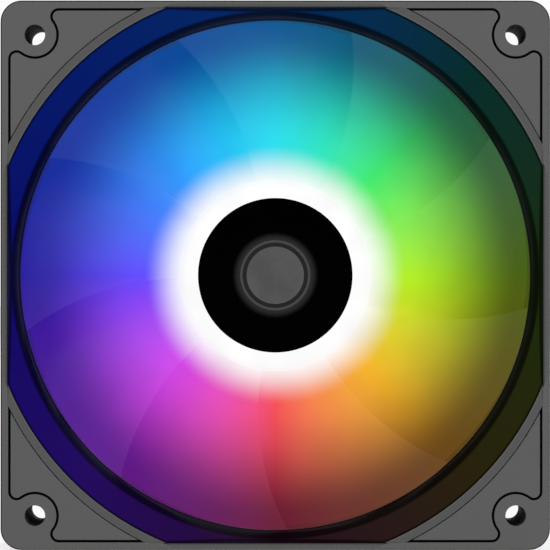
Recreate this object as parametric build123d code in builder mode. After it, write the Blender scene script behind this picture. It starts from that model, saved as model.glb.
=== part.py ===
from build123d import *
import os
from math import atan2, cos, degrees, radians, sin, sqrt, tan

# A 120 mm case fan, standing on one edge.  Millimetres, +Z up, +X to the right.
# The fan's axis is Y: air enters at the front (-Y) and leaves at the rear (+Y).
# The origin is on the axis, half way between the front and rear faces.

# Square frame
SIDE = 120.0
DEPTH = 25.0
CORNER_R = 4.65
EDGE_ROUND = 0.35
SCREW_SPACING = 105.0
SCREW_HOLE_R = 2.25
SCREW_TUBE_R = 4.4
FLANGE_T = 4.0

# Duct: a flared mouth and a straight throat, cut flat where it meets the four sides
MOUTH_R = 63.4
THROAT_R = 57.2
MOUTH_DEPTH = 8.5
THROAT_BLEND_R = 9.0
DUCT_WALL = 1.6
SIDE_WALL = 1.55
LIP_R = 64.9
LIP_BEVEL = 0.35
RIM_ROUND = 0.9
OUTLET_R = 55.9
OUTLET_Y = 8.0

# Corner panels of the front face, sunk inside a fine groove that runs round the screw bosses,
# with a finer one along the duct's lip
PANEL_SINK = 0.2
GROOVE_INSET = 1.67
GROOVE_W = 0.55
GROOVE_DEPTH = 0.8
LIP_GROOVE_W = 0.2
LIP_GROOVE_DEPTH = 0.5
BOSS_R = 4.7
BOSS_NECK_R = 1.85

# Rear struts and motor base
STRUTS = 4
STRUT_ANGLE = 25.0
STRUT_SWEEP = 8.0
STRUT_BOW = 0.35
STRUT_W = 3.6
STRUT_D = 4.0
LEAD_STRUT_W = 7.0
LEAD_CHANNEL_W = 4.2
LEAD_CHANNEL_D = 2.4
BASE_R = 22.6
BASE_WALL = 1.2
BASE_D = 4.3
BASE_FLOOR = 1.6
BASE_LEDGE = 1.0
BASE_BOSS_R = 6.2
BASE_BOSS_H = 0.9
LABEL_R = 18.0
LABEL_SINK = 0.3
LABEL_T = 0.15
LABEL_PLAY = 0.1

# Hub and blades
HUB_R = 21.0
HUB_WALL = 1.8
HUB_FRONT_Y = -11.3
HUB_REAR_Y = 7.0
HUB_PLATE_T = 1.4
HUB_ROUND = 2.4
CAP_R = 16.9
CAP_T = 0.9
CAP_GAP = 0.15
CAP_ROUND = 0.25
BADGE_R = 7.7
BADGE_DISC_R = 6.3
BADGE_RING_W = 0.6
BADGE_T = 0.2
BLADES = 9
BLADE_TIP_R = 55.9
BLADE_ROOT_R = 19.6
BLADE_OVERLAP = 0.5
BLADE_SWEEP = 14.0
BLADE_SWEEP_POWER = 1.4
BLADE_FRONT = (-8.6, -7.4)
BLADE_REAR = (6.6, 5.2)
BLADE_T = (1.8, 1.1)
BLADE_EDGE = 0.3
BLADE_CAMBER = (0.10, 0.055)
BLADE_STATIONS = (0.0, 0.3, 0.65, 1.04)

# Rotor's inner parts
YOKE_WALL = 1.0
YOKE_REAR_Y = 5.0
MAGNET_T = 2.0
MAGNET_FRONT_Y = -6.0
MAGNET_ROUND = 0.25
BUSH_R = 4.5
BUSH_NECK_R = 3.0
BUSH_REAR_Y = -5.7
SHAFT_R = 1.5
SHAFT_REAR_Y = 9.3
SHAFT_CHAMFER = 0.3
CLIP_Y = 8.45
CLIP_T = 0.4
CLIP_R = 2.7
CLIP_SLOT = 0.8
CLIP_PLAY = 0.05
NOTCH_R = 1.15

# Bearing
TUBE_R = 4.3
TUBE_BORE_R = 3.5
TUBE_FRONT_Y = -4.8
BEARING_FRONT_Y = -3.6
BEARING_REAR_Y = 7.9
BEARING_PLAY = 0.02
SEAL_FRONT_Y = -4.5
SEAL_T = 0.7
SEAL_BORE_R = 1.8
PAD_PLAY = 0.1
PAD_T = 0.8

# Stator
STATOR_R = 15.8
CORE_FRONT_Y = -3.2
CORE_REAR_Y = 2.8
POLES = 4
NECK_W = 4.0
CORE_RING_R = 6.6
SHOE_T = 2.0
POLE_GAP = 2.6
INSULATOR_T = 0.6
INSULATOR_CHEEK_H = 1.5
COIL_PLAY = 0.05
COIL_IN_R = 7.5
COIL_OUT_R = 12.9
COIL_T = 1.3
COIL_SIDE = 2.0
COIL_ROUND = 0.9
PIN_R = 0.4
PIN_CIRCLE_R = 10.5
PIN_REAR_Y = 9.8
PIN_LUG_W = 2.4

# Circuit board and what stands on it
BOARD_R = 21.2
BOARD_Y = 8.2
BOARD_T = 1.0
BOARD_BORE_R = 4.6
PIN_HOLE_R = 0.5
LIGHTS = 8
LIGHT_CIRCLE_R = 19.9
LIGHT_SIZE = 1.6
LIGHT_H = 0.8
LENS_R = 0.55
LENS_DEPTH = 0.25
CHIP_SIZE = (5.0, 4.0, 1.5)
CHIP_LEADS = 4
CHIP_PLACE = (12.6, 90.0)
HALL_SIZE = (3.0, 1.5, 1.1)
HALL_LEADS = 2
HALL_PLACE = (16.6, 45.0)
CHIP_BEVEL = 0.15
LEAD_W = 0.4
RESISTOR_SIZE = (1.6, 0.8, 0.5)
RESISTOR_R = 16.0
RESISTOR_ANGLES = (150.0, 165.0, 195.0, 210.0)
CAPACITOR_SIZE = (2.0, 1.25, 1.1)
CAPACITOR_R = 15.0
CAPACITOR_ANGLES = (-15.0, 15.0)
END_CAP_SHARE = 0.2
END_CAP_STEP = 0.06

# Sizes that follow from the ones above
half = DEPTH / 2
screw = SCREW_SPACING / 2
flat = SIDE / 2 - SIDE_WALL
base_floor_y = half - LABEL_SINK
hub_bore_r = HUB_R - HUB_WALL
hub_inner_y = HUB_FRONT_Y + CAP_T + HUB_PLATE_T
yoke_bore_r = hub_bore_r - YOKE_WALL
pad_front_y = SHAFT_REAR_Y + PAD_PLAY
lead_angle = STRUT_ANGLE + (STRUTS - 1) * 360 / STRUTS
coil_hole_w = NECK_W + 2 * INSULATOR_T


def at(y):
    """The plane across the axis at depth y, facing the front: its own y is +Z."""
    return Plane.XZ.offset(-y)


def turned(x, z, angle):
    """The point (x, z) turned about the fan's axis, counterclockwise seen from the front."""
    a = radians(angle)
    return (x * cos(a) - z * sin(a), x * sin(a) + z * cos(a))


def polar(radius, angle):
    return turned(radius, 0, angle)


def about_axis(count, start=0.0):
    """Places equally turned about the fan's axis, counterclockwise seen from the front."""
    return [Location((0, 0, 0), (0, -start - k * 360 / count, 0)) for k in range(count)]


def board_place(radius, angle, y=BOARD_Y):
    """A plane on the board's front face, at a radius and an angle, its x along the tangent."""
    x, z = polar(radius, angle)
    tangent = (-sin(radians(angle)), 0, cos(radians(angle)))
    return Plane(origin=(x, y, z), x_dir=tangent, z_dir=(0, -1, 0))


def half_section(*points):
    """A closed outline of (radius, y) points, to be revolved about the fan's axis."""
    with BuildSketch(Plane.XY) as section:
        with BuildLine():
            Polyline(*points, close=True)
        make_face()
    return section.sketch


def half_ring(r_in, r_out, y_front, y_rear):
    return half_section((r_in, y_front), (r_out, y_front), (r_out, y_rear), (r_in, y_rear))


def finish(piece, node):
    """Names a piece and writes its file."""
    piece.part.label = node
    export_step(piece.part, f"parts/{node}.step")


os.makedirs("parts", exist_ok=True)


# ---------------------------------------------------------------- frame

def duct_section(grow):
    """The duct's half section, with its wall moved outwards by grow."""
    lean = atan2(MOUTH_R - THROAT_R, MOUTH_DEPTH)
    front_y = -half - 1
    knee = (THROAT_R + grow, -half + MOUTH_DEPTH - grow * tan(lean / 2))
    mouth = (knee[0] + (knee[1] - front_y) * tan(lean), front_y)
    rear = (THROAT_R + grow, half + 1)
    with BuildSketch(Plane.XY) as section:
        with BuildLine():
            FilletPolyline(mouth, knee, rear, radius=THROAT_BLEND_R)
            Polyline(rear, (0, half + 1), (0, front_y), mouth)
        make_face()
    return section.sketch


def front_panel():
    """The area inside the groove: straight sides, and at each corner a neck, a boss and a neck."""
    edge = SIDE / 2 - GROOVE_INSET
    side = edge - screw - BOSS_NECK_R
    along = sqrt((BOSS_R + BOSS_NECK_R) ** 2 - side**2)
    lean = degrees(atan2(side, along))
    with BuildSketch(at(-half)) as panel:
        with BuildLine():
            for turn in (0, 90, 180, 270):
                first = turned(screw - along, screw + side, turn)
                last = turned(screw + side, screw - along, turn)
                CenterArc(first, BOSS_NECK_R, 90 + turn, -90 - lean)
                CenterArc(turned(screw, screw, turn), BOSS_R, 180 - lean + turn, 90 + 2 * lean)
                CenterArc(last, BOSS_NECK_R, 90 + lean + turn, -90 - lean)
                Line(turned(edge, screw - along, turn), turned(edge, along - screw, turn))
        make_face()
    return panel.sketch


def strut_area(angle, width, r_in, r_out):
    """A strut's outline: a band of even width along an arc that sweeps more as it goes out."""
    middle = (r_in + r_out) / 2
    centre_line = ThreePointArc(
        polar(r_in, angle),
        polar(middle, angle + STRUT_BOW * STRUT_SWEEP),
        polar(r_out, angle + STRUT_SWEEP),
    )
    with BuildSketch(at(half)) as area:
        SlotArc(centre_line, width)
    return area.sketch


with BuildPart() as air_passage:
    revolve(duct_section(0), axis=Axis.Y)
    revolve(
        half_section(
            (0, -half - 1),
            (LIP_R + (LIP_R - MOUTH_R) / LIP_BEVEL, -half - 1),
            (MOUTH_R, -half + LIP_BEVEL),
            (0, -half + LIP_BEVEL),
        ),
        axis=Axis.Y,
    )
    with BuildSketch(at(half + 1)):
        Rectangle(2 * flat, 2 * flat)
    extrude(amount=DEPTH + 2, mode=Mode.INTERSECT)

with BuildPart() as rim_corner:
    with BuildSketch(Plane.XY):
        with Locations((flat, -half)):
            Rectangle(RIM_ROUND, RIM_ROUND, align=Align.MIN)
        with Locations((flat + RIM_ROUND, -half + RIM_ROUND)):
            Circle(RIM_ROUND, mode=Mode.SUBTRACT)
    extrude(amount=MOUTH_R, both=True)

with BuildPart() as rim_rounding:
    with Locations(about_axis(4)):
        add(rim_corner.part)
    with BuildSketch(at(half)):
        Circle(MOUTH_R)
    extrude(amount=DEPTH, mode=Mode.INTERSECT)

with BuildPart() as duct_body:
    revolve(duct_section(DUCT_WALL), axis=Axis.Y)

with BuildPart() as lead_channel:
    extrude(
        strut_area(lead_angle, LEAD_CHANNEL_W, BASE_R - 2 * BASE_WALL, THROAT_R),
        amount=LEAD_CHANNEL_D,
    )
    exit_x, exit_z = polar(THROAT_R - LEAD_CHANNEL_W, lead_angle + STRUT_SWEEP)
    with BuildSketch(at(half)):
        with Locations((exit_x, (exit_z - SIDE / 2) / 2)):
            Rectangle(LEAD_CHANNEL_W, exit_z + SIDE / 2)
    extrude(amount=LEAD_CHANNEL_D)

with BuildPart() as frame:
    # flanges, screw tubes and duct, trimmed to the square outline
    for flange_rear_y in (-half + FLANGE_T, half):
        with BuildSketch(at(flange_rear_y)):
            RectangleRounded(SIDE, SIDE, CORNER_R)
        extrude(amount=FLANGE_T)
    with BuildSketch(at(half)):
        with GridLocations(SCREW_SPACING, SCREW_SPACING, 2, 2):
            Circle(SCREW_TUBE_R)
    extrude(amount=DEPTH)
    add(duct_body.part)
    with BuildSketch(at(half)):
        RectangleRounded(SIDE, SIDE, CORNER_R)
    extrude(amount=DEPTH, mode=Mode.INTERSECT)
    outer_edges = frame.faces().sort_by(Axis.Y)[0].outer_wire().edges()
    outer_edges += frame.faces().sort_by(Axis.Y)[-1].outer_wire().edges()
    fillet(outer_edges, EDGE_ROUND)
    add(air_passage.part, mode=Mode.SUBTRACT)
    add(rim_rounding.part, mode=Mode.SUBTRACT)

    # low lip round the outlet, behind the blades' tips
    revolve(half_ring(OUTLET_R, THROAT_R + DUCT_WALL / 2, OUTLET_Y, half), axis=Axis.Y)

    # corner panels, sunk inside their groove
    with BuildSketch(at(-half)):
        add(front_panel())
        Circle(LIP_R, mode=Mode.SUBTRACT)
    extrude(amount=-PANEL_SINK, mode=Mode.SUBTRACT)
    with BuildSketch(at(-half)):
        add(front_panel())
        offset(front_panel(), amount=-GROOVE_W, mode=Mode.SUBTRACT)
        Circle(LIP_R, mode=Mode.SUBTRACT)
    extrude(amount=-GROOVE_DEPTH, mode=Mode.SUBTRACT)
    with BuildSketch(at(-half)):
        Circle(LIP_R + LIP_GROOVE_W)
        Circle(LIP_R, mode=Mode.SUBTRACT)
        add(front_panel(), mode=Mode.INTERSECT)
    extrude(amount=-LIP_GROOVE_DEPTH, mode=Mode.SUBTRACT)

    # the lead's way out through the rear flange to the lower edge
    add(lead_channel.part, mode=Mode.SUBTRACT)

    # screw holes
    with BuildSketch(at(half)):
        with GridLocations(SCREW_SPACING, SCREW_SPACING, 2, 2):
            Circle(SCREW_HOLE_R)
    extrude(amount=DEPTH, mode=Mode.SUBTRACT)

finish(frame, "frame")

with BuildPart() as motor_mount:
    # struts, and a shallow cup with a ledge for the board and a boss for the bearing tube
    revolve(half_ring(0, BASE_R, half - BASE_D, half), axis=Axis.Y)
    for k in range(STRUTS):
        width = LEAD_STRUT_W if k == STRUTS - 1 else STRUT_W
        angle = STRUT_ANGLE + k * 360 / STRUTS
        extrude(strut_area(angle, width, BASE_R - 1, THROAT_R), amount=STRUT_D)
    with BuildSketch(at(half)):
        Circle(OUTLET_R)
    extrude(amount=DEPTH, mode=Mode.INTERSECT)
    cup_r = BASE_R - BASE_WALL
    cup_floor_y = base_floor_y - BASE_FLOOR
    ledge_y = BOARD_Y + BOARD_T
    revolve(half_ring(0, cup_r, half - BASE_D, ledge_y), axis=Axis.Y, mode=Mode.SUBTRACT)
    revolve(half_ring(0, cup_r - BASE_LEDGE, ledge_y, cup_floor_y), axis=Axis.Y, mode=Mode.SUBTRACT)
    revolve(half_ring(0, BASE_BOSS_R, cup_floor_y - BASE_BOSS_H, cup_floor_y), axis=Axis.Y)
    revolve(half_ring(0, TUBE_R, BOARD_Y, half), axis=Axis.Y, mode=Mode.SUBTRACT)
    revolve(half_ring(0, LABEL_R, base_floor_y, half), axis=Axis.Y, mode=Mode.SUBTRACT)
    add(lead_channel.part, mode=Mode.SUBTRACT)
finish(motor_mount, "motor_mount")

with BuildPart() as rear_label:
    label_edge_r = LABEL_R - LABEL_PLAY
    revolve(half_ring(0, label_edge_r, base_floor_y, base_floor_y + LABEL_T), axis=Axis.Y)
finish(rear_label, "rear_label")


# ---------------------------------------------------------------- hub and blades

def blade_section(station):
    """One blade section, on a plane square to the radius, and swept forwards towards the tip.

    The chord runs from the leading edge, at the front, to the trailing edge, at the rear.
    It spans the blade's share of the circle, and its camber bows it towards the front.
    """
    radius = BLADE_ROOT_R + station * (BLADE_TIP_R - BLADE_ROOT_R)
    sweep = BLADE_SWEEP * station**BLADE_SWEEP_POWER
    front_y, rear_y, thickness, camber = (
        root + (tip - root) * min(station, 1)
        for root, tip in (BLADE_FRONT, BLADE_REAR, BLADE_T, BLADE_CAMBER)
    )
    reach = radius * tan(radians(180 / BLADES + BLADE_OVERLAP / 2))
    leading = Vector(reach, -front_y)
    trailing = Vector(-reach, -rear_y)
    chord = leading - trailing
    normal = Vector(-chord.Y, chord.X).normalized()
    bow = normal * camber * chord.length
    middle = (leading + trailing) / 2 + bow
    ends = normal * thickness * BLADE_EDGE
    nose = chord.normalized() * thickness * BLADE_EDGE
    x, z = polar(radius, sweep)
    tangent = (-sin(radians(sweep)), 0, cos(radians(sweep)))
    place = Plane(origin=(x, 0, z), x_dir=tangent, z_dir=(x, 0, z))
    with BuildSketch(place) as section:
        with BuildLine():
            ThreePointArc(trailing + ends, middle + normal * thickness / 2, leading + ends)
            ThreePointArc(leading + ends, leading + nose, leading - ends)
            ThreePointArc(leading - ends, middle - normal * thickness / 2, trailing - ends)
            ThreePointArc(trailing - ends, trailing - nose, trailing + ends)
        make_face()
    return section.sketch


with BuildPart() as hub:
    with BuildSketch(Plane.XY) as hub_section:
        with BuildLine():
            Polyline(
                (0, hub_inner_y - HUB_PLATE_T),
                (CAP_R + CAP_GAP, hub_inner_y - HUB_PLATE_T),
                (CAP_R + CAP_GAP, HUB_FRONT_Y),
                (HUB_R, HUB_FRONT_Y),
                (HUB_R, HUB_REAR_Y),
                (hub_bore_r, HUB_REAR_Y),
                (hub_bore_r, hub_inner_y),
                (0, hub_inner_y),
                close=True,
            )
        make_face()
        shoulder = hub_section.vertices().sort_by(Axis.X)[-2:].sort_by(Axis.Y)[0]
        fillet(shoulder, HUB_ROUND)
    revolve(axis=Axis.Y)
finish(hub, "hub")

with BuildPart() as first_blade:
    loft([blade_section(station) for station in BLADE_STATIONS])
    with BuildSketch(at(half)):
        Circle(BLADE_TIP_R)
        Circle(HUB_R, mode=Mode.SUBTRACT)
    extrude(amount=DEPTH, mode=Mode.INTERSECT)

for k, place in enumerate(about_axis(BLADES)):
    with BuildPart() as blade:
        with Locations(place):
            add(first_blade.part)
    finish(blade, f"blade_{k + 1}")

with BuildPart() as hub_cap:
    revolve(half_ring(0, CAP_R, HUB_FRONT_Y, HUB_FRONT_Y + CAP_T), axis=Axis.Y)
    fillet(hub_cap.edges().sort_by(Axis.Y)[0], CAP_ROUND)
finish(hub_cap, "hub_cap")

with BuildPart() as cap_badge:
    revolve(half_ring(0, BADGE_R, HUB_FRONT_Y - BADGE_T, HUB_FRONT_Y), axis=Axis.Y)
    groove = half_ring(
        BADGE_DISC_R, BADGE_R - BADGE_RING_W, HUB_FRONT_Y - BADGE_T, HUB_FRONT_Y - BADGE_T / 3
    )
    revolve(groove, axis=Axis.Y, mode=Mode.SUBTRACT)
finish(cap_badge, "cap_badge")


# ---------------------------------------------------------------- rotor's inner parts

with BuildPart() as rotor_yoke:
    revolve(half_ring(BUSH_NECK_R, hub_bore_r, hub_inner_y, YOKE_REAR_Y), axis=Axis.Y)
    inside = half_ring(0, yoke_bore_r, hub_inner_y + YOKE_WALL, YOKE_REAR_Y)
    revolve(inside, axis=Axis.Y, mode=Mode.SUBTRACT)
finish(rotor_yoke, "rotor_yoke")

with BuildPart() as ring_magnet:
    revolve(
        half_ring(yoke_bore_r - MAGNET_T, yoke_bore_r, MAGNET_FRONT_Y, YOKE_REAR_Y), axis=Axis.Y
    )
    fillet(ring_magnet.edges(), MAGNET_ROUND)
finish(ring_magnet, "ring_magnet")

with BuildPart() as shaft_bush:
    flange_y = hub_inner_y + YOKE_WALL
    revolve(half_ring(SHAFT_R, BUSH_NECK_R, hub_inner_y, flange_y), axis=Axis.Y)
    revolve(half_ring(SHAFT_R, BUSH_R, flange_y, BUSH_REAR_Y), axis=Axis.Y)
finish(shaft_bush, "shaft_bush")

with BuildPart() as shaft:
    revolve(half_ring(0, SHAFT_R, hub_inner_y, SHAFT_REAR_Y), axis=Axis.Y)
    chamfer(shaft.edges().sort_by(Axis.Y)[-1], SHAFT_CHAMFER)
    notch = half_ring(NOTCH_R, SHAFT_R, CLIP_Y - CLIP_PLAY, CLIP_Y + CLIP_T + CLIP_PLAY)
    revolve(notch, axis=Axis.Y, mode=Mode.SUBTRACT)
finish(shaft, "shaft")

with BuildPart() as retaining_clip:
    with BuildSketch(at(CLIP_Y + CLIP_T)):
        Circle(CLIP_R)
        Circle(NOTCH_R + BEARING_PLAY, mode=Mode.SUBTRACT)
        with Locations((CLIP_R, 0)):
            Rectangle(2 * CLIP_R, CLIP_SLOT, mode=Mode.SUBTRACT)
    extrude(amount=CLIP_T)
finish(retaining_clip, "retaining_clip")


# ---------------------------------------------------------------- bearing

with BuildPart() as bearing_tube:
    revolve(half_ring(TUBE_BORE_R, TUBE_R, TUBE_FRONT_Y, base_floor_y), axis=Axis.Y)
finish(bearing_tube, "bearing_tube")

with BuildPart() as sleeve_bearing:
    revolve(
        half_ring(SHAFT_R + BEARING_PLAY, TUBE_BORE_R, BEARING_FRONT_Y, BEARING_REAR_Y),
        axis=Axis.Y,
    )
finish(sleeve_bearing, "sleeve_bearing")

with BuildPart() as oil_seal:
    revolve(
        half_ring(SEAL_BORE_R, TUBE_BORE_R, SEAL_FRONT_Y, SEAL_FRONT_Y + SEAL_T), axis=Axis.Y
    )
finish(oil_seal, "oil_seal")

with BuildPart() as thrust_pad:
    revolve(half_ring(0, TUBE_BORE_R, pad_front_y, pad_front_y + PAD_T), axis=Axis.Y)
finish(thrust_pad, "thrust_pad")

with BuildPart() as tube_plug:
    revolve(half_ring(0, TUBE_BORE_R, pad_front_y + PAD_T, base_floor_y), axis=Axis.Y)
finish(tube_plug, "tube_plug")


# ---------------------------------------------------------------- stator

with BuildPart() as stator_core:
    with BuildSketch(at(CORE_REAR_Y)):
        Circle(STATOR_R)
        Circle(STATOR_R - SHOE_T, mode=Mode.SUBTRACT)
        with PolarLocations((STATOR_R + CORE_RING_R) / 2, POLES, 180 / POLES):
            Rectangle(STATOR_R - CORE_RING_R, POLE_GAP, mode=Mode.SUBTRACT)
        Circle(CORE_RING_R)
        with PolarLocations((STATOR_R - SHOE_T / 2) / 2, POLES):
            Rectangle(STATOR_R - SHOE_T / 2, NECK_W)
        Circle(TUBE_R, mode=Mode.SUBTRACT)
    extrude(amount=CORE_REAR_Y - CORE_FRONT_Y)
finish(stator_core, "stator_core")


def insulator(core_face_y, outwards, lugs):
    """The plastic piece on one face of the core: a plate, side walls in the slots and two cheeks.

    It stands out of the core's face in the direction outwards, -1 to the front, +1 to the rear.
    """
    with BuildPart() as piece:
        with BuildSketch(at(core_face_y)):
            Circle(CORE_RING_R)
            with PolarLocations(COIL_OUT_R / 2, POLES):
                Rectangle(COIL_OUT_R, coil_hole_w)
            Circle(TUBE_R, mode=Mode.SUBTRACT)
        extrude(amount=-outwards * INSULATOR_T)
        with BuildSketch(at(core_face_y)):
            with PolarLocations((CORE_RING_R + COIL_OUT_R) / 2, POLES):
                with GridLocations(0, NECK_W + INSULATOR_T, 1, 2):
                    Rectangle(COIL_OUT_R - CORE_RING_R, INSULATOR_T)
        extrude(amount=outwards * (CORE_REAR_Y - CORE_FRONT_Y) / 2)
        with BuildSketch(at(core_face_y)):
            Circle(COIL_IN_R - 2 * COIL_PLAY)
            Circle(COIL_IN_R - 2 * COIL_PLAY - INSULATOR_T, mode=Mode.SUBTRACT)
            with PolarLocations(COIL_OUT_R + INSULATOR_T / 2 + COIL_PLAY, POLES):
                Rectangle(INSULATOR_T, coil_hole_w + 2 * COIL_SIDE)
        extrude(amount=-outwards * (INSULATOR_T + INSULATOR_CHEEK_H))
        with BuildSketch(at(core_face_y)):
            with PolarLocations(COIL_OUT_R, POLES):
                Rectangle(2 * INSULATOR_T, NECK_W)
        extrude(amount=-outwards * INSULATOR_T)
        if lugs:
            lug_reach = PIN_CIRCLE_R + PIN_LUG_W / 2 - CORE_RING_R
            with BuildSketch(at(core_face_y)):
                with PolarLocations(CORE_RING_R + lug_reach / 2, POLES, 180 / POLES):
                    Rectangle(lug_reach, PIN_LUG_W)
                with PolarLocations(PIN_CIRCLE_R, POLES, 180 / POLES):
                    Circle(PIN_R, mode=Mode.SUBTRACT)
            extrude(amount=-outwards * (INSULATOR_T + INSULATOR_CHEEK_H))
    return piece


insulator_front = insulator(CORE_FRONT_Y, -1, lugs=False)
finish(insulator_front, "insulator_front")

insulator_rear = insulator(CORE_REAR_Y, 1, lugs=True)
finish(insulator_rear, "insulator_rear")

with BuildPart() as coil:
    coil_front_y = CORE_FRONT_Y - INSULATOR_T - COIL_T
    coil_rear_y = CORE_REAR_Y + INSULATOR_T + COIL_T
    middle_y = (coil_front_y + coil_rear_y) / 2
    with BuildSketch(Plane(origin=(COIL_IN_R, middle_y, 0), x_dir=(0, 0, 1), z_dir=(1, 0, 0))):
        RectangleRounded(
            coil_hole_w + 2 * COIL_SIDE, coil_rear_y - coil_front_y, COIL_ROUND
        )
        Rectangle(
            coil_hole_w, coil_rear_y - coil_front_y - 2 * COIL_T, mode=Mode.SUBTRACT
        )
    extrude(amount=COIL_OUT_R - COIL_IN_R)

for k, place in enumerate(about_axis(POLES)):
    with BuildPart() as winding:
        with Locations(place):
            add(coil.part)
    finish(winding, f"winding_{k + 1}")

for k, place in enumerate(about_axis(POLES, 180 / POLES)):
    with BuildPart() as winding_pin:
        with BuildSketch(at(PIN_REAR_Y)):
            with Locations(polar(PIN_CIRCLE_R, (k + 0.5) * 360 / POLES)):
                Circle(PIN_R)
        extrude(amount=PIN_REAR_Y - CORE_REAR_Y - INSULATOR_T)
    finish(winding_pin, f"winding_pin_{k + 1}")


# ---------------------------------------------------------------- circuit board

with BuildPart() as circuit_board:
    with BuildSketch(at(BOARD_Y + BOARD_T)):
        Circle(BOARD_R)
        Circle(BOARD_BORE_R, mode=Mode.SUBTRACT)
        with PolarLocations(PIN_CIRCLE_R, POLES, 180 / POLES):
            Circle(PIN_HOLE_R, mode=Mode.SUBTRACT)
    extrude(amount=BOARD_T)
finish(circuit_board, "circuit_board")


def leaded_chip(size, leads, radius, angle):
    """A moulded chip with flat leads on its two long sides, standing on the board."""
    length, width, height = size
    pitch = length / leads
    with BuildPart() as piece:
        with BuildSketch(board_place(radius, angle)):
            Rectangle(length, width)
        extrude(amount=height)
        chamfer(piece.faces().sort_by(Axis.Y)[0].edges(), height * CHIP_BEVEL)
        with BuildSketch(board_place(radius, angle)):
            with GridLocations(pitch, 0, leads, 1):
                Rectangle(LEAD_W, width + 2 * LEAD_W)
        extrude(amount=LEAD_W / 2)
    return piece


driver_chip = leaded_chip(CHIP_SIZE, CHIP_LEADS, *CHIP_PLACE)
finish(driver_chip, "driver_chip")

hall_sensor = leaded_chip(HALL_SIZE, HALL_LEADS, *HALL_PLACE)
finish(hall_sensor, "hall_sensor")

for k in range(LIGHTS):
    light_angle = (k + 0.5) * 360 / LIGHTS
    with BuildPart() as light:
        with BuildSketch(board_place(LIGHT_CIRCLE_R, light_angle)):
            Rectangle(LIGHT_SIZE, LIGHT_SIZE)
        extrude(amount=LIGHT_H)
        with BuildSketch(board_place(LIGHT_CIRCLE_R, light_angle, BOARD_Y - LIGHT_H)):
            Circle(LENS_R)
        extrude(amount=-LENS_DEPTH, mode=Mode.SUBTRACT)
    finish(light, f"light_{k + 1}")


def end_cap_chip(size, radius, angle):
    """A plain block chip with a slightly larger soldered cap at each end."""
    length, width, height = size
    with BuildPart() as piece:
        with BuildSketch(board_place(radius, angle)):
            Rectangle(length, width * (1 - END_CAP_STEP))
        extrude(amount=height * (1 - END_CAP_STEP))
        with BuildSketch(board_place(radius, angle)):
            with GridLocations(length * (1 - END_CAP_SHARE), 0, 2, 1):
                Rectangle(length * END_CAP_SHARE, width)
        extrude(amount=height)
    return piece


for k, angle in enumerate(RESISTOR_ANGLES):
    finish(end_cap_chip(RESISTOR_SIZE, RESISTOR_R, angle), f"resistor_{k + 1}")

for k, angle in enumerate(CAPACITOR_ANGLES):
    finish(end_cap_chip(CAPACITOR_SIZE, CAPACITOR_R, angle), f"capacitor_{k + 1}")
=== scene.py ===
import math

import bpy
import numpy as np
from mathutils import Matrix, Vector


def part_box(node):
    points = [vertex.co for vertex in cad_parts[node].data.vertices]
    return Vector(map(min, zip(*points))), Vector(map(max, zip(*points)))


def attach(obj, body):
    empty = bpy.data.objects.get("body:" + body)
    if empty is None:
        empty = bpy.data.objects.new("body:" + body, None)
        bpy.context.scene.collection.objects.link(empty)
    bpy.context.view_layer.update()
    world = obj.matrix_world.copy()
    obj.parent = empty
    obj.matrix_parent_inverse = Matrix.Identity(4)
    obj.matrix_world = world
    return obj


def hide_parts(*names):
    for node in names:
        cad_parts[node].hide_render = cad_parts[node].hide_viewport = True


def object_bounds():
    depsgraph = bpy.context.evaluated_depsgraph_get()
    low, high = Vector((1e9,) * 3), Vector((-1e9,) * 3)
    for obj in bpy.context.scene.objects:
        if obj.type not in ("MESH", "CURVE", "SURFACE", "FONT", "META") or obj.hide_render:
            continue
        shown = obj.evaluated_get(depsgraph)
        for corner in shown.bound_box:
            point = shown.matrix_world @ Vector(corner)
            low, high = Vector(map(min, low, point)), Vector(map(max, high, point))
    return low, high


# A 120 mm case fan with a lit rotor. Metres; the fan's axis is Y, its open face looks to -Y,
# and it stands on its lower edge.

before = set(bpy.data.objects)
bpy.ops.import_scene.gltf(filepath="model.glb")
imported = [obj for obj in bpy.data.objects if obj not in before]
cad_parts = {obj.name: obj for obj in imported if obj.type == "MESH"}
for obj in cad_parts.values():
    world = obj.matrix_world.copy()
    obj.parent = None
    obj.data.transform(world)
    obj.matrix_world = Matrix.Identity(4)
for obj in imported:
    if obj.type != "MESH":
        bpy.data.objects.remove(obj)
cad_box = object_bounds()

MM = 0.001
HALF_SIDE = cad_box[1].z
FRONT_Y = cad_box[0].y
THROAT_R = 57.2 * MM
DUCT_MOUTH_R = 63.4 * MM
DUCT_FLAT = 58.45 * MM
LIP_BEVEL = 0.35 * MM
OUTLET_Y = 8.0 * MM
GROOVE_DEPTH = 0.8 * MM
PANEL_SINK = 0.2 * MM
BADGE_DISC_R = 6.3 * MM
BADGE_RING_IN_R = 7.1 * MM


def nodes_named(start):
    """The CAD nodes called start and a number."""
    return [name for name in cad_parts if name[:len(start)] == start and name[len(start):].isdigit()]


BLADES = nodes_named("blade_")
WINDINGS = nodes_named("winding_")
PINS = nodes_named("winding_pin_")
LIGHTS = nodes_named("light_")
RESISTORS = nodes_named("resistor_")
CAPACITORS = nodes_named("capacitor_")


# ---------------------------------------------------------------- helpers

def linear(colour):
    """An sRGB hex colour as linear red, green, blue and full alpha."""
    parts = [int(colour[k:k + 2], 16) / 255 for k in (0, 2, 4)]
    return tuple(c / 12.92 if c <= 0.04045 else ((c + 0.055) / 1.055) ** 2.4 for c in parts) + (1.0,)


def feed(tree, node, inputs):
    """Fills a node's inputs, by name or in order, with values, sRGB hex colours or linked sockets."""
    for key, value in inputs.items() if isinstance(inputs, dict) else enumerate(inputs):
        if isinstance(value, bpy.types.NodeSocket):
            tree.links.new(value, node.inputs[key])
        else:
            node.inputs[key].default_value = linear(value) if isinstance(value, str) else value


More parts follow.
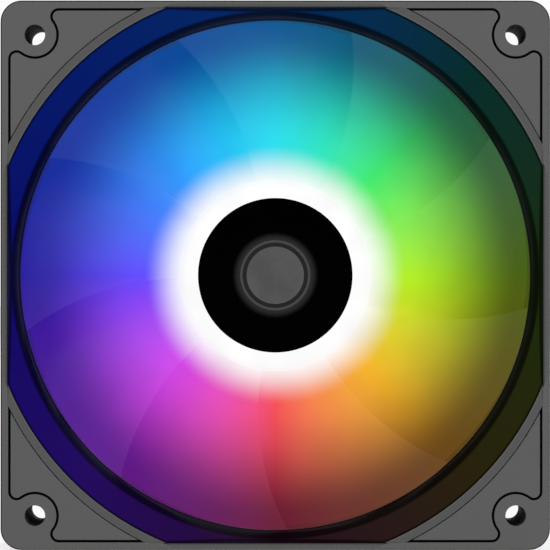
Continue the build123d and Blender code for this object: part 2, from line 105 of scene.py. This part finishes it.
def add_node(tree, kind, inputs=(), **settings):
    """Adds a node with its settings, fills its inputs, and returns its outputs."""
    made = tree.nodes.new("ShaderNode" + kind)
    for name, value in settings.items():
        setattr(made, name, value)
    feed(tree, made, inputs)
    return made.outputs


def new_material(name, **constants):
    """A material with one Principled shader, whose sockets are named with _ for a space."""
    material = bpy.data.materials.new(name)
    material.use_nodes = True
    tree = material.node_tree
    tree.nodes.clear()
    sockets = {key.replace("_", " "): value for key, value in constants.items()}
    surface = add_node(tree, "BsdfPrincipled", sockets)[0]
    add_node(tree, "OutputMaterial", {"Surface": surface})
    return material, tree, surface.node


def object_place(tree):
    """Object coordinates: the vector, and its x, y and z."""
    place = add_node(tree, "TexCoord")["Object"]
    parts = add_node(tree, "SeparateXYZ", [place])
    return place, parts["X"], parts["Y"], parts["Z"]


def about_axis(tree, x, z):
    """The distance from the fan's axis, and the turn round it from 0 to 1, from +X towards +Z."""
    across = add_node(tree, "CombineXYZ", {"X": x, "Z": z})[0]
    radius = add_node(tree, "VectorMath", [across], operation="LENGTH")["Value"]
    angle = add_node(tree, "Math", [z, x], operation="ARCTAN2")[0]
    turn = add_node(tree, "Math", [angle, 2 * math.pi], operation="DIVIDE")[0]
    return radius, add_node(tree, "Math", [turn], operation="FRACT")[0]


def graded(tree, value, low, high, first, second):
    """Goes smoothly from the first colour to the second while the value goes from low to high."""
    share = add_node(tree, "MapRange", [value, low, high], interpolation_type="SMOOTHSTEP")[0]
    return add_node(tree, "Mix", {0: share, 6: first, 7: second}, data_type="RGBA")[2]


def zone(tree, soft, *bands):
    """A share that is 1 inside every band and 0 outside, with an edge as wide as soft.

    A band is (low, value, high), and None leaves its side open. The least of all the distances
    to a side, negative beyond it, gives the share.
    """
    least = None
    for low, value, high in bands:
        for above, below in ((value, low), (high, value)):
            if above is None or below is None:
                continue
            room = add_node(tree, "Math", [above, below], operation="SUBTRACT")[0]
            if least is not None:
                room = add_node(tree, "Math", [least, room], operation="MINIMUM")[0]
            least = room
    edges = [least, -soft / 2, soft / 2]
    return add_node(tree, "MapRange", edges, interpolation_type="SMOOTHSTEP")[0]


def mottled(tree, place, size, first, second):
    """Two close tones in soft patches of about the given size, and the patches as a number."""
    patches = add_node(tree, "TexNoise", {"Vector": place, "Scale": 1 / size, "Detail": 3.0})[0]
    return graded(tree, patches, 0.3, 0.7, first, second), patches


def colour_wheel(tree, turn, tones):
    """A closed ring of evenly spaced sRGB hex colours round the axis."""
    wheel = add_node(tree, "ValToRGB", [turn])
    ramp = wheel[0].node.color_ramp
    for k in range(1, len(tones)):
        ramp.elements.new(k / len(tones))
    for element, tone in zip(ramp.elements, tones + tones[:1]):
        element.color = linear(tone)
    return wheel["Color"]


def give(material, *names):
    """Puts a material on CAD nodes."""
    for name in names:
        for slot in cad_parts[name].material_slots:
            slot.material = material


# ---------------------------------------------------------------- camera, light and stage

scene = bpy.context.scene
scene.view_settings.view_transform = "Standard"

CAMERA_DISTANCE = 0.763
VIEW_WIDTH = 0.12006
CAMERA_ASIDE = -0.06 * MM
CAMERA_UP = 0.06 * MM

camera_data = bpy.data.cameras.new("camera")
camera_data.sensor_width = 36.0
camera_data.lens = camera_data.sensor_width * CAMERA_DISTANCE / VIEW_WIDTH
camera_data.clip_start = 0.01
camera = bpy.data.objects.new("camera", camera_data)
camera.location = (CAMERA_ASIDE, FRONT_Y - CAMERA_DISTANCE, CAMERA_UP)
camera.rotation_euler = (math.pi / 2, 0.0, 0.0)
scene.collection.objects.link(camera)
scene.camera = camera


def soft_light(name, place, size, watts):
    """A square white area light that faces the fan."""
    data = bpy.data.lights.new(name, "AREA")
    data.shape = "SQUARE"
    data.size = size
    data.energy = watts
    lamp = bpy.data.objects.new(name, data)
    lamp.location = place
    lamp.rotation_mode = "QUATERNION"
    lamp.rotation_quaternion = lamp.location.normalized().to_track_quat("Z", "Y")
    scene.collection.objects.link(lamp)


soft_light("key_light", (-0.9, -1.5, 1.3), 1.0, 22)
soft_light("fill_light", (1.2, -1.5, 0.7), 1.0, 16)
soft_light("rear_light", (0.6, 1.6, 1.4), 1.2, 26)

# The backdrop is near white to the eye, and a fifth as bright as a source of light.
world = bpy.data.worlds.new("studio")
scene.world = world
world.use_nodes = True
sky = world.node_tree
sky.nodes.clear()
seen = add_node(sky, "LightPath")["Is Camera Ray"]
strength = add_node(sky, "MapRange", {"Value": seen, "To Min": 0.2, "To Max": 1.0})[0]
backdrop = add_node(sky, "Background", {"Color": "fcfcfc", "Strength": strength})[0]
add_node(sky, "OutputWorld", {"Surface": backdrop})


def floor_disc():
    """A disc on the plane that the fan stands on: points (r cos t, r sin t) at one height."""
    reach = 6.0
    corners = 96
    turn = np.linspace(0, 2 * np.pi, corners, endpoint=False)
    height = np.full_like(turn, -HALF_SIDE)
    points = np.stack([reach * np.cos(turn), reach * np.sin(turn), height], 1)
    mesh = bpy.data.meshes.new("floor")
    mesh.from_pydata(points.tolist(), [], [list(range(len(turn)))])
    made = bpy.data.objects.new("floor", mesh)
    scene.collection.objects.link(made)
    return made


floor = floor_disc()
floor_paper, _, _ = new_material(
    "pale_studio_paper_lit_from_below", Base_Color="a0a0a0", Roughness=0.8,
    Specular_IOR_Level=0.0, Emission_Color="ffffff", Emission_Strength=0.7,
)
floor.data.materials.append(floor_paper)


# ---------------------------------------------------------------- wound wire

WIRE_R = 0.16 * MM
WIRE_PITCH = 0.34 * MM
WIRE_LAYERS = 4
CORNER_STEPS = 6
TIGHT_CORNER_R = 0.3 * MM
LOOSE_CORNER_R = 0.9 * MM
COIL_HOLE_HALF = np.array([2.6, 3.6]) * MM
PIN_WRAPS = 3
PIN_WRAP_STEPS = 16
TAIL_RUN_STEPS = 4


def wire_tube(path, side, sides=6):
    """A round wire along a path, closed with a flat end at each end.

    Every point of the path carries a ring of points: path + wire radius * (cos t * across +
    sin t * over), where across is square to the wire and to side, and over is square to both.
    """
    along = np.gradient(path, axis=0)
    across = np.cross(along, side)
    across /= np.linalg.norm(across, axis=1, keepdims=True)
    over = np.cross(across, along)
    over /= np.linalg.norm(over, axis=1, keepdims=True)
    turn = np.arange(sides)[None, :, None] * 2 * np.pi / sides
    rings = path[:, None] + WIRE_R * (np.cos(turn) * across[:, None] + np.sin(turn) * over[:, None])
    start = np.arange(len(path) - 1)[:, None] * sides
    corner = np.arange(sides)
    after = (corner + 1) % sides
    quads = [start + corner, start + sides + corner, start + sides + after, start + after]
    faces = np.stack(quads, -1).reshape(-1, 4).tolist()
    last = len(path) * sides
    faces += [corner.tolist(), list(range(last - 1, last - sides - 1, -1))]
    return rings.reshape(-1, 3), faces


def coil_path(in_r, out_r, half_outer):
    """The middle of one continuous wire, as (outwards, aside, rearwards) points.

    Each turn is a rounded rectangle: four corner arcs, joined by straight runs. The place along
    the tooth goes out and back as a triangle wave, one layer for each way, and during a layer's
    last turn the rectangle grows smoothly by one layer.
    """
    turns = round((out_r - in_r - 2 * WIRE_R) / WIRE_PITCH)
    steps = 4 * CORNER_STEPS
    count = np.arange(WIRE_LAYERS * turns * steps + 1)
    layer, within = np.divmod(count / (turns * steps), 1)
    rise = np.clip((within - 1) * turns + 1, 0, 1)
    grow = np.clip((layer + rise**2 * (3 - 2 * rise)) / (WIRE_LAYERS - 1), 0, 1)[:, None]
    out_and_back = np.where(layer % 2 == 0, within, 1 - within)
    outwards = in_r + WIRE_R + (out_r - in_r - 2 * WIRE_R) * out_and_back
    quarter, step = np.divmod(count % steps, CORNER_STEPS)
    angle = (quarter + step / (CORNER_STEPS - 1)) * np.pi / 2
    half = (COIL_HOLE_HALF + WIRE_R) * (1 - grow) + (half_outer - WIRE_R) * grow
    corner_r = TIGHT_CORNER_R * (1 - grow) + LOOSE_CORNER_R * grow
    corner = np.stack([np.cos((quarter + 0.5) * np.pi / 2), np.sin((quarter + 0.5) * np.pi / 2)], 1)
    round_it = np.stack([np.cos(angle), np.sin(angle)], 1)
    outline = np.sign(corner) * (half - corner_r) + round_it * corner_r
    return np.column_stack([outwards, outline])


def tail_path(start, pin):
    """The wire's end: a straight run to the pin, then a close helix round it, towards the rear."""
    pin_low, pin_high = pin
    wrap_r = (pin_high.x - pin_low.x) / 2 + WIRE_R
    centre = np.array([pin_high.x + pin_low.x, pin_high.z + pin_low.z]) / 2
    turn = np.linspace(0, 2 * np.pi * PIN_WRAPS, PIN_WRAPS * PIN_WRAP_STEPS + 1)
    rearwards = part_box("insulator_rear")[1].y + WIRE_R + WIRE_PITCH * turn / (2 * np.pi)
    helix = np.column_stack([
        centre[0] + wrap_r * np.cos(turn), centre[1] + wrap_r * np.sin(turn), rearwards,
    ])
    run = start + (helix[0] - start) * np.linspace(0, 1, TAIL_RUN_STEPS, endpoint=False)[:, None]
    return np.vstack([run, helix])


def wound_wire(name, quarter_turns):
    """One winding, its tail included, turned about the fan's axis by quarter turns."""
    low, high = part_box("winding_1")
    middle_y = (low.y + high.y) / 2
    coil = coil_path(low.x, high.x, np.array([high.z, (high.y - low.y) / 2]))
    coil[:, 2] += middle_y
    tail = tail_path(coil[-1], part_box("winding_pin_1"))
    angle = quarter_turns * np.pi / 2
    out_axis = np.array([np.cos(angle), 0, np.sin(angle)])
    aside_axis = np.array([-np.sin(angle), 0, np.cos(angle)])
    rear_axis = np.array([0.0, 1.0, 0.0])
    axes = np.stack([out_axis, aside_axis, rear_axis])
    coil_points, coil_faces = wire_tube(coil @ axes, out_axis)
    tail_points, tail_faces = wire_tube(tail @ axes, rear_axis)
    faces = coil_faces + [[corner + len(coil_points) for corner in face] for face in tail_faces]
    mesh = bpy.data.meshes.new(name)
    mesh.from_pydata(np.vstack([coil_points, tail_points]).tolist(), [], faces)
    mesh.polygons.foreach_set("use_smooth", np.ones(len(faces), dtype=bool))
    piece = bpy.data.objects.new(name, mesh)
    scene.collection.objects.link(piece)
    return piece


# ---------------------------------------------------------------- materials

# The colours of the eight lights, evenly spaced round the axis from +X towards +Z
LIGHT_TONES = ["b0f020", "40f070", "20e0f0", "2898ff", "6048ff", "d848e8", "f85058", "f8b828"]
# What the painted glow keeps on its way: blue carries furthest
TIP_TINT = "7068a0"
WALL_TINT = "283068"
# The painted glow's core is white up to the first radius and coloured from the second, and the dimming
# likewise
CORE_R = 19.0 * MM
CORE_EDGE_R = 29.0 * MM
GLOW_FULL_R = 28.0 * MM
GLOW_DIM_R = 54.0 * MM
# Shares of the lights' colour painted as a glow on the throat, the flare and the outlet's lip; the
# throat's small share is painted shade
THROAT_SHARE = 0.25
FLARE_SHARE = 0.95
LIP_SHARE = 0.6


def light_left(tree, turn, tint):
    """The lights' colours round the axis, each channel dimmed by the tint."""
    lights = colour_wheel(tree, turn, LIGHT_TONES)
    return add_node(
        tree, "Mix", {0: 1.0, 6: lights, 7: tint}, data_type="RGBA", blend_type="MULTIPLY")[2]


def polycarbonate_with_painted_glow():
    """Milky moulded polycarbonate, lit from the hub.

    The hub's light is painted on it as a glow: white at the root, then one colour after another
    round the circle, darker towards the tips. Moulding leaves it smooth, with faint clouds where
    the resin flowed, which dim the painted glow a little.
    """
    material, tree, shader = new_material(
        "polycarbonate_milky_moulded_painted_glow", Base_Color="0c0c0e", Roughness=0.55,
        Specular_IOR_Level=0.1, Emission_Strength=1.0,
    )
    place, x, _, z = object_place(tree)
    radius, turn = about_axis(tree, x, z)
    # painted light: the hub lights' colours are painted on as a glow, white at the core and dimmer
    # towards the tips
    near = light_left(tree, turn, "ffffff")
    far = light_left(tree, turn, TIP_TINT)
    glow = graded(tree, radius, GLOW_FULL_R, GLOW_DIM_R, near, far)
    glow = graded(tree, radius, CORE_R, CORE_EDGE_R, "ffffff", glow)
    flow = add_node(tree, "TexNoise", {"Vector": place, "Scale": 1 / (9.0 * MM), "Detail": 1.0})[0]
    clouds = add_node(tree, "MapRange", [flow, 0.3, 0.7, 0.94, 1.0])[0]
    cloudy_glow = add_node(
        tree, "VectorMath", {"Vector": glow, "Scale": clouds}, operation="SCALE")[0]
    ripple = add_node(tree, "TexNoise", {"Vector": place, "Scale": 1 / (1.6 * MM)})[0]
    skin = add_node(tree, "Bump", {"Height": ripple, "Distance": 0.01 * MM, "Strength": 0.3})[0]
    feed(tree, shader, {"Emission Color": cloudy_glow, "Normal": skin})
    return material


def pbt_with_painted_shade_and_glow():
    """Grey glass-filled PBT from a spark-eroded mould: an even matte grain.

    Painted shade: the sides, hole walls, rounded edges and the grooves' floors are painted darker
    than the flat faces, which face the lights. Inside the duct the wall has no grain, and it is
    painted near black as shade, with the blades' coloured light painted on it as a glow, up to a
    painted dark line under the mouth and a painted dark band in the throat. The outlet's lip, close
    behind the blades' tips, has their light painted on it as well.
    """
    material, tree, shader = new_material(
        "pbt_grey_spark_eroded_painted_shade_and_glow", Specular_IOR_Level=0.03, Emission_Strength=1.0,
    )
    place, x, y, z = object_place(tree)
    radius, turn = about_axis(tree, x, z)
    normal = add_node(tree, "NewGeometry")["Normal"]
    along_axis = add_node(tree, "SeparateXYZ", [normal])["Y"]
    facing = add_node(tree, "Math", [along_axis], operation="ABSOLUTE")[0]
    across = add_node(tree, "CombineXYZ", {"X": x, "Z": z})[0]
    outwards = add_node(tree, "VectorMath", [normal, across], operation="DOT_PRODUCT")["Value"]
    aside = add_node(tree, "Math", [x], operation="ABSOLUTE")[0]
    upward = add_node(tree, "Math", [z], operation="ABSOLUTE")[0]
    reach = add_node(tree, "Math", [aside, upward], operation="MAXIMUM")[0]

    soft = 0.1 * MM

    # painted shade: the sides and rounded edges are painted darker than the flat faces, which face the
    # lights
    tone = graded(tree, facing, 0.05, 0.3, "444444", "1c1c1c")
    tone = graded(tree, facing, 0.93, 0.99, tone, "575757")
    flow = add_node(tree, "TexNoise", {"Vector": place, "Scale": 1 / (14.0 * MM), "Detail": 3.0})[0]
    streak = add_node(tree, "MapRange", [flow, 0.3, 0.7, 0.0, 0.1])[0]
    tone = graded(tree, streak, 0.0, 1.0, tone, "6a6a68")

    # painted shade on the wide rounding inside the rim, where the duct is cut flat: darker as it turns
    # from the lights
    rim_w = 1.0 * MM
    rim_depth = 1.5 * MM
    on_rim = zone(
        tree, soft, (DUCT_FLAT - soft, reach, DUCT_FLAT + rim_w), (None, radius, DUCT_MOUTH_R),
        (None, y, FRONT_Y + rim_depth),
    )
    rim_painted_shade = graded(tree, facing, 0.0, 0.95, "1c1c1c", "525252")
    tone = graded(tree, on_rim, 0.0, 1.0, tone, rim_painted_shade)

    # painted shade: the floors of the grooves are painted near black
    below = 0.2 * MM
    groove_top_y = FRONT_Y + PANEL_SINK + below
    groove_floor_y = FRONT_Y + GROOVE_DEPTH + below
    panel_reach = HALF_SIDE - 1.1 * MM
    panel_in_r = DUCT_MOUTH_R + 1.5 * MM
    groove_floor_shade = zone(
        tree, 0.15 * MM, (None, reach, panel_reach), (panel_in_r, radius, None),
        (groove_top_y, y, groove_floor_y),
    )
    tone = graded(tree, groove_floor_shade, 0.0, 1.0, tone, "060606")

    # painted shade: the duct wall is painted near black; it is matte and has no grain
    mouth_y = FRONT_Y + LIP_BEVEL + 0.05 * MM
    on_wall = zone(
        tree, soft, (None, radius, DUCT_MOUTH_R), (None, reach, DUCT_FLAT + soft),
        (mouth_y, y, OUTLET_Y + 0.3 * MM), (None, outwards, -1.0 * MM),
    )
    tone = graded(tree, on_wall, 0.0, 1.0, tone, "020202")
    # painted light: the blades' coloured light is painted on the duct wall as a glow; painted shade
    # leaves a dark line under the mouth and a dark band in the throat
    in_flare = zone(
        tree, 0.7 * MM, (mouth_y + 0.5 * MM, y, None), (THROAT_R + 1.1 * MM, radius, None),
        (None, reach, DUCT_FLAT - 0.4 * MM),
    )
    light = add_node(tree, "MapRange", [in_flare, 0.0, 1.0, THROAT_SHARE, FLARE_SHARE])[0]
    share = add_node(tree, "Math", [on_wall, light], operation="MULTIPLY")[0]
    painted_spill = graded(tree, share, 0.0, 1.0, "000000", light_left(tree, turn, WALL_TINT))
    # painted light: the blades' tip colours are painted on the outlet's lip as a glow
    on_lip = zone(
        tree, soft, (None, radius, THROAT_R - soft), (OUTLET_Y - soft, y, OUTLET_Y + soft))
    lip_light = add_node(tree, "MapRange", [on_lip, 0.0, 1.0, 0.0, LIP_SHARE])[0]
    painted_spill = graded(tree, lip_light, 0.0, 1.0, painted_spill, light_left(tree, turn, TIP_TINT))

    # a real grain is about 0.06 mm; it is drawn at 0.4 mm so that it shows
    grain = 0.4 * MM
    pits = add_node(tree, "TexNoise", {"Vector": place, "Scale": 1 / grain})[0]
    grainy = add_node(tree, "MapRange", [pits, 0.3, 0.7, 0.62, 0.74])[0]
    rough = add_node(tree, "MapRange", [on_wall, 0.0, 1.0, grainy, 0.95])[0]
    smooth_share = add_node(tree, "Math", [1.0, on_wall], operation="SUBTRACT")[0]
    height = add_node(tree, "Math", [pits, smooth_share], operation="MULTIPLY")[0]
    skin = add_node(tree, "Bump", {"Height": height, "Distance": 0.02 * MM, "Strength": 0.6})[0]
    feed(tree, shader, {
        "Base Color": tone, "Emission Color": painted_spill, "Roughness": rough, "Normal": skin,
    })
    return material


def polished_abs():
    """Black ABS, polished mould: near black, dark grey round the badge and fading to black further out.
    """
    material, tree, shader = new_material("abs_black_polished", Specular_IOR_Level=0.01)
    place, x, _, z = object_place(tree)
    radius, _ = about_axis(tree, x, z)
    tone = graded(tree, radius, 7.4 * MM, 9.6 * MM, "2c2c2c", "000000")
    swirl = add_node(tree, "TexNoise", {"Vector": place, "Scale": 1 / (3.0 * MM)})[0]
    rough = add_node(tree, "MapRange", [swirl, 0.3, 0.7, 0.22, 0.3])[0]
    feed(tree, shader, {"Base Color": tone, "Roughness": rough})
    return material


def satin_film():
    """Grey polyester film, satin: a round disc and a thin ring, with a dark gap between them."""
    material, tree, shader = new_material("polyester_film_grey_satin", Specular_IOR_Level=0.2)
    place, x, _, z = object_place(tree)
    radius, _ = about_axis(tree, x, z)
    tone, _ = mottled(tree, place, 5.0 * MM, "444444", "4c4c4c")
    tone = graded(tree, radius, BADGE_DISC_R - 0.1 * MM, BADGE_DISC_R + 0.05 * MM, tone, "101010")
    tone = graded(tree, radius, BADGE_RING_IN_R - 0.05 * MM, BADGE_RING_IN_R + 0.1 * MM, tone, "3a3a3a")
    tooth = add_node(tree, "TexNoise", {"Vector": place, "Scale": 1 / (0.5 * MM)})[0]
    rough = add_node(tree, "MapRange", [tooth, 0.2, 0.8, 0.42, 0.55])[0]
    feed(tree, shader, {"Base Color": tone, "Roughness": rough})
    return material


def moulded(name, dark, light, size, depth, smooth, matte, **constants):
    """A moulded or sintered finish: two close tones, and a grain that sets both gloss and relief."""
    material, tree, shader = new_material(name, **constants)
    place, _, _, _ = object_place(tree)
    tone, patches = mottled(tree, place, size, dark, light)
    rough = add_node(tree, "MapRange", [patches, 0.25, 0.75, smooth, matte])[0]
    skin = add_node(tree, "Bump", {"Height": patches, "Distance": depth})[0]
    feed(tree, shader, {"Base Color": tone, "Roughness": rough, "Normal": skin})
    return material


def turned_metal(name, dark, light, pitch, smooth=0.22, matte=0.34):
    """Metal turned on a lathe: fine rings round the axis, from tool marks of the given pitch."""
    material, tree, shader = new_material(name, Metallic=1.0)
    place, x, y, z = object_place(tree)
    radius, _ = about_axis(tree, x, z)
    travel = add_node(tree, "Math", [radius, y], operation="ADD")[0]
    phase = add_node(tree, "Math", [travel, 2 * math.pi / pitch], operation="MULTIPLY")[0]
    marks = add_node(tree, "Math", [phase], operation="SINE")[0]
    tone, _ = mottled(tree, place, 2.0 * MM, dark, light)
    rough = add_node(tree, "MapRange", [marks, -1.0, 1.0, smooth, matte])[0]
    skin = add_node(tree, "Bump", {"Height": marks, "Distance": 0.004 * MM})[0]
    feed(tree, shader, {"Base Color": tone, "Roughness": rough, "Normal": skin})
    return material


def stacked_steel():
    """Electrical steel sheets 0.5 mm thick, punched and stacked: dark lines between bright edges."""
    material, tree, shader = new_material("electrical_steel_stacked", Metallic=1.0)
    place, _, y, _ = object_place(tree)
    sheet_t = 0.5 * MM
    count = add_node(tree, "Math", [y, sheet_t], operation="DIVIDE")[0]
    within = add_node(tree, "Math", [count], operation="FRACT")[0]
    sheet = zone(tree, 0.08, (0.06, within, 0.94))
    tone, _ = mottled(tree, place, 1.5 * MM, "7b7c80", "9a9ba0")
    tone = graded(tree, sheet, 0.0, 1.0, "26262a", tone)
    rough = add_node(tree, "MapRange", [sheet, 0.0, 1.0, 0.7, 0.38])[0]
    skin = add_node(tree, "Bump", {"Height": sheet, "Distance": 0.03 * MM})[0]
    feed(tree, shader, {"Base Color": tone, "Roughness": rough, "Normal": skin})
    return material


def masked_laminate():
    """Glass laminate under green solder mask: copper tracks show as paler, raised rings and spokes."""
    material, tree, shader = new_material("glass_laminate_green_masked", Roughness=0.3)
    place, x, _, z = object_place(tree)
    radius, turn = about_axis(tree, x, z)
    ring_pitch = 1.6 * MM
    spokes = 16.0
    ring_count = add_node(tree, "Math", [radius, ring_pitch], operation="DIVIDE")[0]
    ring = add_node(tree, "Math", [ring_count], operation="FRACT")[0]
    spoke_count = add_node(tree, "Math", [turn, spokes], operation="MULTIPLY")[0]
    spoke = add_node(tree, "Math", [spoke_count], operation="FRACT")[0]
    track = add_node(tree, "Math", [
        zone(tree, 0.04, (0.38, ring, 0.62)), zone(tree, 0.02, (0.45, spoke, 0.55)),
    ], operation="MAXIMUM")[0]
    mask, _ = mottled(tree, place, 0.5 * MM, "0a3219", "0d3c20")
    tone = graded(tree, track, 0.0, 1.0, mask, "1c5a30")
    skin = add_node(tree, "Bump", {"Height": track, "Distance": 0.03 * MM})[0]
    feed(tree, shader, {"Base Color": tone, "Normal": skin})
    return material


def moulded_epoxy():
    """Black epoxy chips with tinned leads: a matte body above, bright metal next to the board."""
    material, tree, shader = new_material("epoxy_black_moulded_tinned_leads")
    place, _, y, _ = object_place(tree)
    lead_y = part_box("circuit_board")[0].y - 0.2 * MM
    body, patches = mottled(tree, place, 0.25 * MM, "151515", "202020")
    lead = zone(tree, 0.03 * MM, (lead_y, y, None))
    rough = add_node(tree, "MapRange", [lead, 0.0, 1.0, 0.6, 0.3])[0]
    skin = add_node(tree, "Bump", {"Height": patches, "Distance": 0.01 * MM})[0]
    feed(tree, shader, {
        "Base Color": graded(tree, lead, 0.0, 1.0, body, "b4b4b0"), "Metallic": lead,
        "Roughness": rough, "Normal": skin,
    })
    return material


def end_capped(name, dark, light, chips, length, cap_share=0.2):
    """Fired ceramic chips whose two ends are dipped in bright solder.

    A chip lies along the tangent, so its ends are told by the turn round the axis: beyond the
    body's share of the half turn that the chip takes up.
    """
    material, tree, shader = new_material(name)
    place, x, _, z = object_place(tree)
    _, turn = about_axis(tree, x, z)
    away = None
    for chip in chips:
        low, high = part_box(chip)
        middle = (low + high) / 2
        own_turn = math.atan2(middle.z, middle.x) / (2 * math.pi)
        gap = add_node(tree, "Math", [turn, own_turn + 0.5], operation="SUBTRACT")[0]
        gap = add_node(tree, "Math", [gap, 1.0], operation="FLOORED_MODULO")[0]
        gap = add_node(tree, "Math", [gap, 0.5], operation="SUBTRACT")[0]
        gap = add_node(tree, "Math", [gap], operation="ABSOLUTE")[0]
        away = gap if away is None else add_node(tree, "Math", [away, gap], operation="MINIMUM")[0]
    half_turn = length / 2 / math.hypot(middle.x, middle.z) / (2 * math.pi)
    cap = zone(tree, 0.05 * half_turn, ((1 - 2 * cap_share) * half_turn, away, None))
    body, patches = mottled(tree, place, 0.3 * MM, dark, light)
    rough = add_node(tree, "MapRange", [cap, 0.0, 1.0, 0.45, 0.3])[0]
    skin = add_node(tree, "Bump", {"Height": patches, "Distance": 0.01 * MM})[0]
    feed(tree, shader, {
        "Base Color": graded(tree, cap, 0.0, 1.0, body, "b8b8b4"), "Metallic": cap,
        "Roughness": rough, "Normal": skin,
    })
    return material


def lit_lens():
    """A white resin case round a clear lens that shines white."""
    material, tree, shader = new_material(
        "resin_white_case_with_lit_lens", Roughness=0.3, Emission_Strength=3.0,
    )
    place, _, y, _ = object_place(tree)
    tone, _ = mottled(tree, place, 0.4 * MM, "e8e8e2", "f2f2ee")
    case_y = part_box("light_1")[0].y
    shine = graded(tree, y, case_y + 0.1 * MM, case_y + 0.2 * MM, "404040", "ffffff")
    feed(tree, shader, {"Base Color": tone, "Emission Color": shine})
    return material


def enamelled_wire():
    """Copper wire under clear enamel: warm brown metal with a clear gloss, slightly uneven in hue.

    The real wire is about 0.2 mm thick; it is drawn at 0.32 mm so that its turns show.
    """
    material, tree, shader = new_material(
        "copper_wire_enamelled", Metallic=1.0, Coat_Weight=0.6, Coat_Roughness=0.15,
    )
    place, _, _, _ = object_place(tree)
    tone, patches = mottled(tree, place, 0.8 * MM, "8a4a26", "b5683a")
    rough = add_node(tree, "MapRange", [patches, 0.3, 0.7, 0.22, 0.36])[0]
    feed(tree, shader, {"Base Color": tone, "Roughness": rough})
    return material


def brushed_film():
    """Silver polyester film, brushed one way: fine straight streaks."""
    material, tree, shader = new_material("polyester_film_silver_brushed", Metallic=0.6)
    place, _, _, _ = object_place(tree)
    drawn_out = add_node(tree, "Mapping", {"Vector": place, "Scale": (0.04, 1.0, 1.0)})[0]
    tone, streaks = mottled(tree, drawn_out, 0.25 * MM, "a9abae", "c6c8ca")
    rough = add_node(tree, "MapRange", [streaks, 0.3, 0.7, 0.32, 0.48])[0]
    skin = add_node(tree, "Bump", {"Height": streaks, "Distance": 0.004 * MM})[0]
    feed(tree, shader, {"Base Color": tone, "Roughness": rough, "Normal": skin})
    return material


# ---------------------------------------------------------------- finishes on their pieces

give(pbt_with_painted_shade_and_glow(), "frame", "motor_mount")
give(polycarbonate_with_painted_glow(), "hub", *BLADES)
give(polished_abs(), "hub_cap")
give(satin_film(), "cap_badge")
give(brushed_film(), "rear_label")
give(turned_metal("steel_zinc_plated_pressed", "9a9c9c", "b6b8b8", 0.6 * MM), "rotor_yoke")
give(turned_metal("brass_turned", "b08d4a", "c9a55c", 0.25 * MM), "shaft_bush", "bearing_tube")
give(turned_metal("steel_ground", "a8a8ac", "c0c0c4", 0.15 * MM, 0.14, 0.2), "shaft")
give(turned_metal("brass_tinned", "b9b9b4", "cfcfca", 0.2 * MM), *PINS)
give(moulded("ferrite_bonded_pressed", "2a2928", "3a3836", 0.5 * MM, 0.01 * MM, 0.6, 0.75), "ring_magnet")
give(moulded("nylon_natural_moulded", "d8d4c4", "e4e0d2", 0.6 * MM, 0.005 * MM, 0.4, 0.55),
     "retaining_clip", "oil_seal", "thrust_pad")
give(moulded("bronze_sintered", "6e4f2c", "94703f", 0.15 * MM, 0.02 * MM, 0.45, 0.6, Metallic=1.0),
     "sleeve_bearing")
give(moulded("rubber_black_moulded", "161616", "1f1f1f", 0.3 * MM, 0.01 * MM, 0.7, 0.85), "tube_plug")
give(moulded("pbt_natural_moulded", "cfcabb", "dcd8ca", 0.5 * MM, 0.008 * MM, 0.4, 0.55),
     "insulator_front", "insulator_rear")
give(stacked_steel(), "stator_core")
give(masked_laminate(), "circuit_board")
give(moulded_epoxy(), "driver_chip", "hall_sensor")
give(lit_lens(), *LIGHTS)
give(end_capped("ceramic_black_fired", "161617", "222224", RESISTORS, 1.6 * MM), *RESISTORS)
give(end_capped("ceramic_tan_fired", "8c6a46", "a8825a", CAPACITORS, 2.0 * MM), *CAPACITORS)

copper = enamelled_wire()
give(copper, *WINDINGS)
for k, winding in enumerate(WINDINGS):
    wire = wound_wire(f"wound_wire_{k + 1}", k)
    wire.data.materials.append(copper)
    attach(wire, "housing")
    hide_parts(winding)
